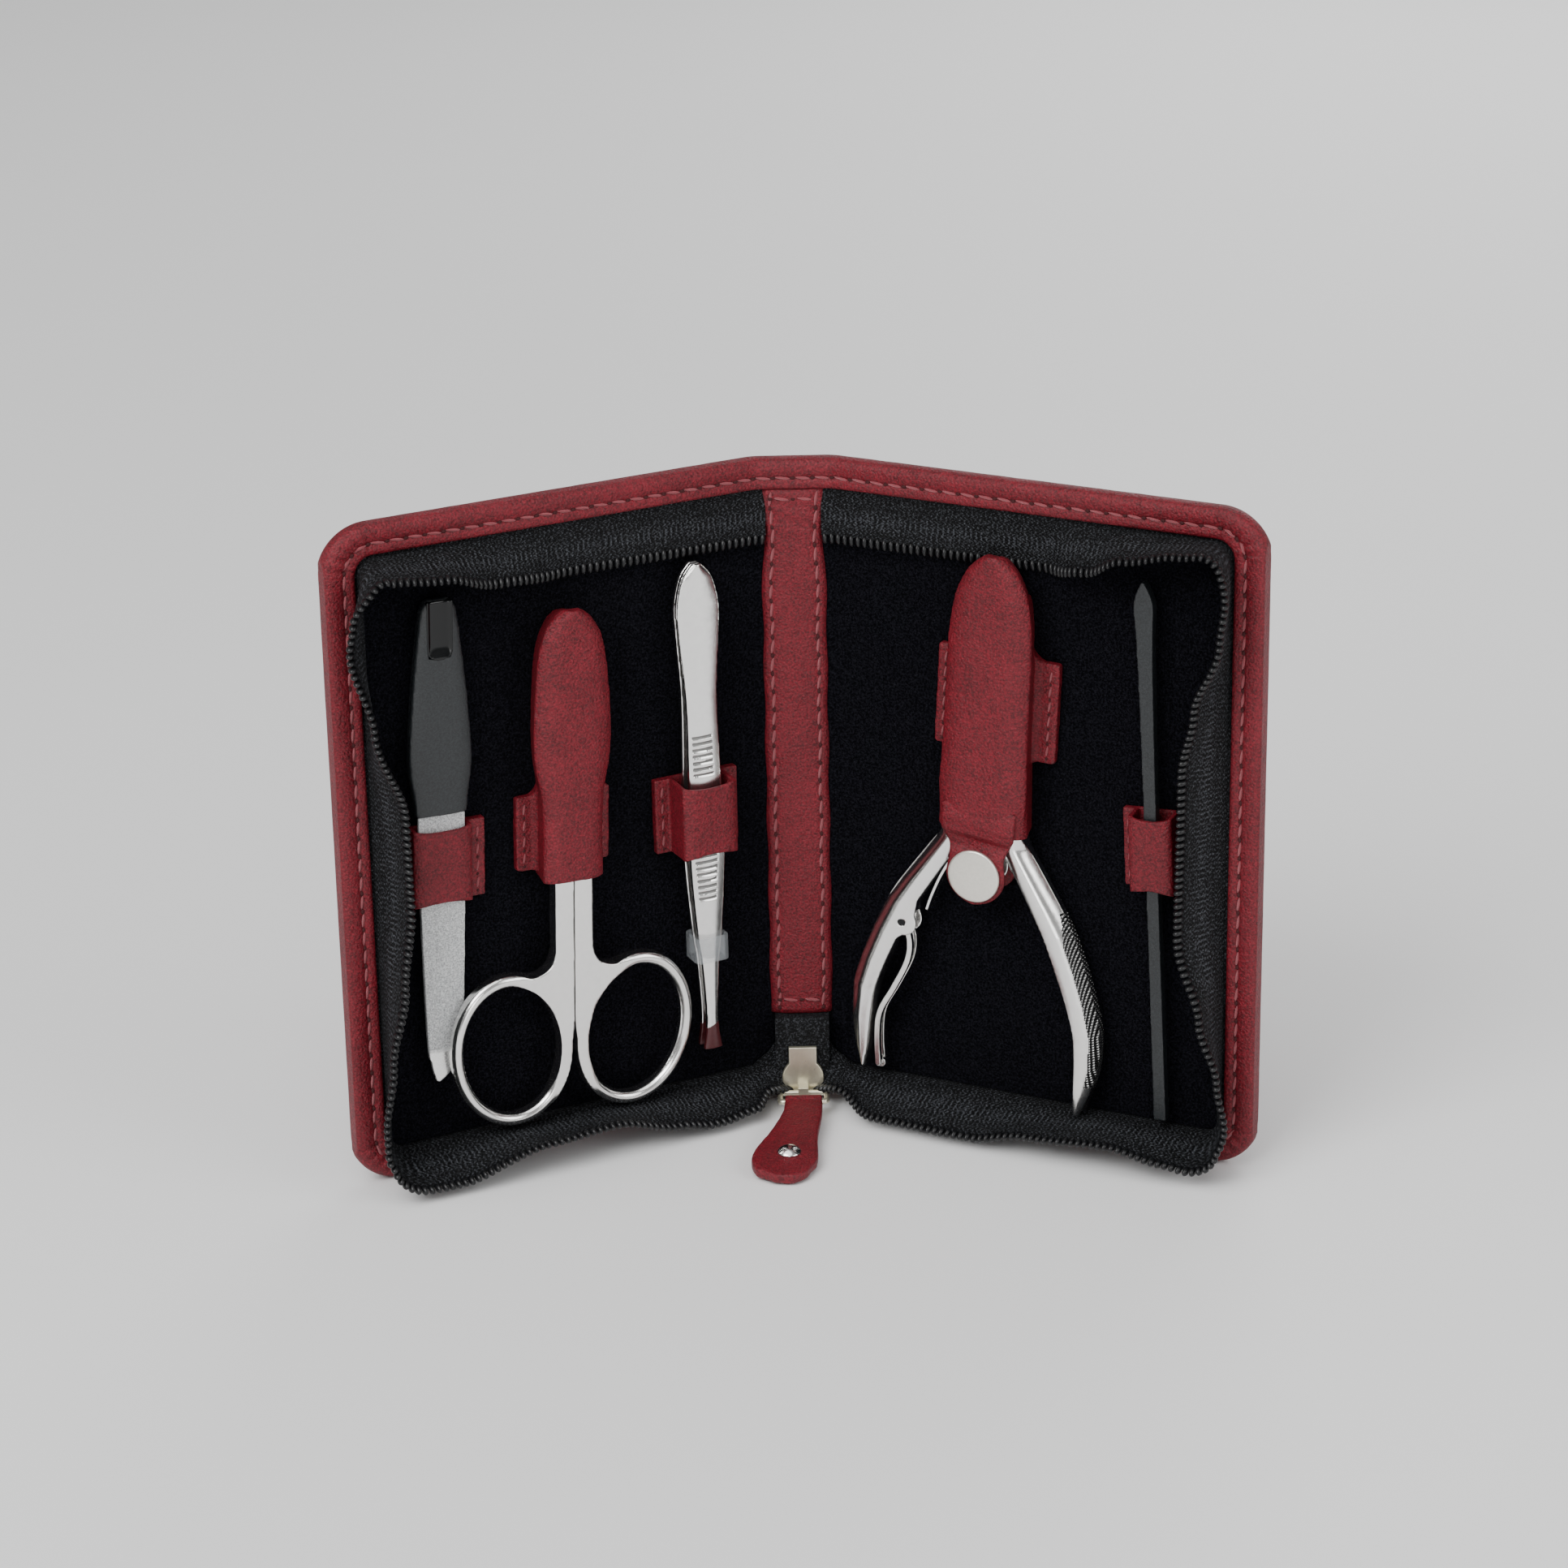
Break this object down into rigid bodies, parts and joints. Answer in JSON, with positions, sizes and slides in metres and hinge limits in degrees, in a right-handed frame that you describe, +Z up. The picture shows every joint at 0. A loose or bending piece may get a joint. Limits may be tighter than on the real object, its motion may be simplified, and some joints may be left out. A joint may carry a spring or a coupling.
{
  "type": "manicure set case",
  "caption": "Book-shaped zipped leather manicure case standing open, with nail tools held in loops and sheaths inside the covers.",
  "frame": {"origin": "middle of the spine's foot, on the floor, on the line that joins the two fold axes", "axes": "+Z up the spine, +X to the right across the open case, the covers open towards -Y"},
  "size_m": [0.1554, 0.0467, 0.118],
  "materials": {
    "leather": "crimson leather with a fine grain",
    "board": "pressed stiffening board",
    "velvet": "near-black velvet lining",
    "tape": "woven zip tape",
    "coil": "spun zip coil",
    "nickel": "bright nickel plate",
    "steel": "polished tool steel",
    "slate": "slate grey moulded plastic",
    "clear": "clear soft sleeve"
  },
  "bodies": {
    "spine": {"spine_leather": "leather", "spine_board": "board", "spine_lining": "velvet", "spine_strip": "leather", "left_fold": "leather", "right_fold": "leather", "zip_end_tape": "tape"},
    "slider": {"slider_body": "nickel", "slider_bail": "nickel"},
    "pull_ring": {"pull_ring": "nickel"},
    "pull_tab": {"pull_tab": "leather", "pull_rivet": "nickel"},
    "left_cover": {"left_leather": "leather", "left_board": "board", "left_lining": "velvet", "left_tape": "tape", "left_coil": "coil", "file_loop": "leather", "scissors_sheath": "leather", "tweezers_loop": "leather"},
    "nail_file": {"file_handle": "slate", "file_blade": "steel"},
    "scissors": {"scissors_screw": "nickel"},
    "scissors_outer": {"scissors_outer_half": "steel"},
    "scissors_inner": {"scissors_inner_half": "steel"},
    "tweezers": {"tweezers_bow": "steel"},
    "tweezers_front": {"tweezers_front_arm": "steel"},
    "tweezers_back": {"tweezers_back_arm": "steel"},
    "tweezers_sleeve": {"tweezers_sleeve": "clear"},
    "right_cover": {"right_leather": "leather", "right_board": "board", "right_lining": "velvet", "right_tape": "tape", "right_coil": "coil", "nipper_sheath": "leather", "nipper_pin": "nickel", "snap_strap": "leather", "snap_stud": "nickel", "stick_loop": "leather"},
    "nipper_outer": {"nipper_outer_half": "steel"},
    "nipper_inner": {"nipper_inner_half": "steel", "leaf_spring": "steel", "lever_pin": "nickel"},
    "wire_lever": {"wire_lever": "nickel", "lever_roller": "nickel"},
    "snap_tongue": {"snap_tongue": "leather", "snap_socket": "nickel", "snap_cap": "nickel"},
    "stick": {"cuticle_stick": "slate"}
  },
  "joints": [
    {"name": "left_cover", "type": "hinge", "parent": "spine", "child": "left_cover", "pos_m": [-0.0065, 0, 0.059], "axis": [0, 0, -1], "range_deg": [-56, 26], "deforming": ["left_tape", "left_coil"]},
    {"name": "right_cover", "type": "hinge", "parent": "spine", "child": "right_cover", "pos_m": [0.0065, 0, 0.059], "axis": [0, 0, 1], "range_deg": [-56, 26], "deforming": ["right_tape", "right_coil"]},
    {"name": "slider", "type": "slide", "parent": "spine", "child": "slider", "axis": [0, 0, 1], "range_m": [0, 0.002]},
    {"name": "pull_ring", "type": "hinge", "parent": "slider", "child": "pull_ring", "pos_m": [0, -0.0054, 0.002], "axis": [-1, 0, 0], "range_deg": [0, 80]},
    {"name": "pull_tab", "type": "hinge", "parent": "pull_ring", "child": "pull_tab", "pos_m": [0, -0.01093, 0.0029], "axis": [1, 0, 0], "range_deg": [0, 60]},
    {"name": "file_slide", "type": "slide", "parent": "left_cover", "child": "nail_file", "axis": [0.0282, 0.0138, 0.9995], "range_m": [0, 0.044]},
    {"name": "scissors_slide", "type": "slide", "parent": "left_cover", "child": "scissors", "axis": [-0.0282, -0.0138, -0.9995], "range_m": [0, 0.045]},
    {"name": "scissors_outer", "type": "hinge", "parent": "scissors", "child": "scissors_outer", "pos_m": [-0.03899, -0.02007, 0.0625], "axis": [-0.4384, 0.8988, 0], "range_deg": [0, 1.5]},
    {"name": "scissors_inner", "type": "hinge", "parent": "scissors", "child": "scissors_inner", "pos_m": [-0.03899, -0.02007, 0.0625], "axis": [0.4384, -0.8988, 0], "range_deg": [0, 1.5]},
    {"name": "tweezers_slide", "type": "slide", "parent": "left_cover", "child": "tweezers", "axis": [-0.0078, -0.0038, 1], "range_m": [0, 0.037]},
    {"name": "tweezers_front", "type": "hinge", "parent": "tweezers", "child": "tweezers_front", "pos_m": [-0.01674, -0.00933, 0.0934], "axis": [0.8988, 0.4384, 0.0087], "range_deg": [0, 0.5], "stiffness_Nm_per_rad": 0.2, "springref_deg": -1.15},
    {"name": "tweezers_back", "type": "hinge", "parent": "tweezers", "child": "tweezers_back", "pos_m": [-0.01674, -0.00933, 0.0934], "axis": [-0.8988, -0.4384, -0.0087], "range_deg": [0, 0.5], "stiffness_Nm_per_rad": 0.2, "springref_deg": -1.15},
    {"name": "tweezers_sleeve", "type": "slide", "parent": "tweezers", "child": "tweezers_sleeve", "axis": [0.0078, 0.0038, -1], "range_m": [0, 0.014]},
    {"name": "nipper_outer", "type": "hinge", "parent": "right_cover", "child": "nipper_outer", "pos_m": [0.03229, -0.0167, 0.068], "axis": [0.4384, 0.8988, 0], "range_deg": [0, 4], "stiffness_Nm_per_rad": 0.08, "springref_deg": -5.73},
    {"name": "nipper_inner", "type": "hinge", "parent": "right_cover", "child": "nipper_inner", "pos_m": [0.03229, -0.0167, 0.068], "axis": [-0.4384, -0.8988, 0], "range_deg": [0, 4], "stiffness_Nm_per_rad": 0.08, "springref_deg": -5.73},
    {"name": "wire_lever", "type": "hinge", "parent": "nipper_inner", "child": "wire_lever", "pos_m": [0.01824, -0.00984, 0.03718], "axis": [-0.4384, -0.8988, 0], "range_deg": [0, 45]},
    {"name": "snap_tongue", "type": "hinge", "parent": "right_cover", "child": "snap_tongue", "pos_m": [0.03004, -0.01994, 0.05662], "axis": [-0.8976, 0.4378, 0.0523], "range_deg": [0, 110]},
    {"name": "stick_slide", "type": "slide", "parent": "right_cover", "child": "stick", "axis": [-0.0408, 0.0199, 0.999], "range_m": [0, 0.042]}
  ],
  "couplings": [
    {"joint": "scissors_inner", "follows": "scissors_outer", "ratio": 1},
    {"joint": "tweezers_back", "follows": "tweezers_front", "ratio": 1},
    {"joint": "nipper_inner", "follows": "nipper_outer", "ratio": 1}
  ]
}
